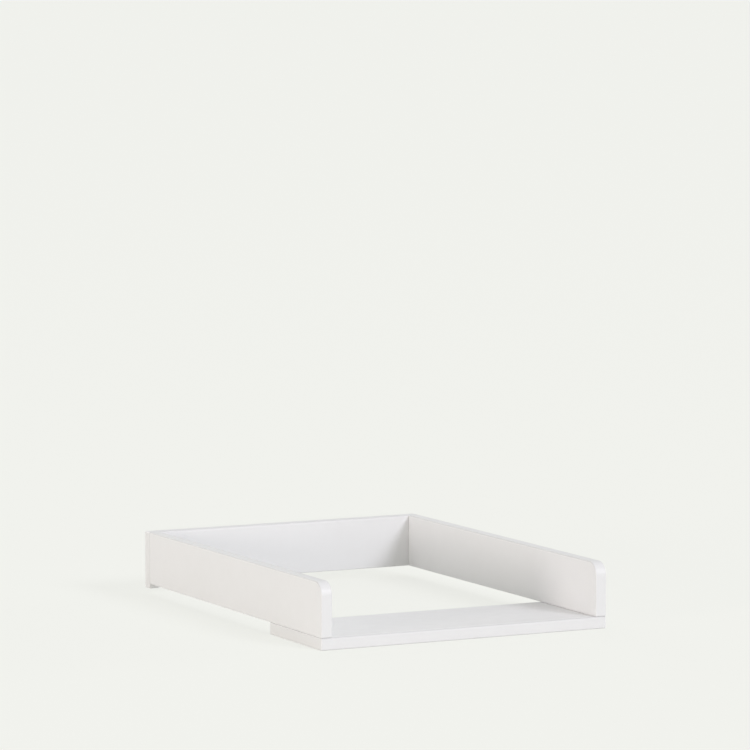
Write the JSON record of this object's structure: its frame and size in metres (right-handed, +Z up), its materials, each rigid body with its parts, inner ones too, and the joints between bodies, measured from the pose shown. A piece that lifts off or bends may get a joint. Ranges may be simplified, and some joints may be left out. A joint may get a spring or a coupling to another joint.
{
  "type": "changing board",
  "caption": "Three-sided changing board for the top of a chest of drawers, with two side panels, a back panel and a front board that carries the mat past the chest.",
  "frame": {"origin": "middle of the outline in plan, on the underside of the front board", "axes": "+Z up, -Y towards the open front, +X to the right seen from the front"},
  "size_m": [0.58, 0.77, 0.122],
  "materials": {
    "white_lacquer": "satin white lacquer over fibreboard",
    "zinc_steel": "bright zinc plate",
    "beech": "raw beech",
    "cap_plastic": "matt white plastic"
  },
  "bodies": {
    "root": {"left_side_panel": "white_lacquer", "right_side_panel": "white_lacquer", "back_panel": "white_lacquer", "front_board": "white_lacquer", "rear_screw_left_lower": "zinc_steel", "rear_screw_left_upper": "zinc_steel", "rear_screw_right_lower": "zinc_steel", "rear_screw_right_upper": "zinc_steel", "front_screw_left_front": "zinc_steel", "front_screw_left_rear": "zinc_steel", "front_screw_right_front": "zinc_steel", "front_screw_right_rear": "zinc_steel", "rear_dowel_left": "beech", "rear_dowel_right": "beech", "front_dowel_left_front": "beech", "front_dowel_left_rear": "beech", "front_dowel_right_front": "beech", "front_dowel_right_rear": "beech", "screw_cap_left_lower": "cap_plastic", "screw_cap_left_upper": "cap_plastic", "screw_cap_right_lower": "cap_plastic", "screw_cap_right_upper": "cap_plastic"}
  },
  "joints": []
}
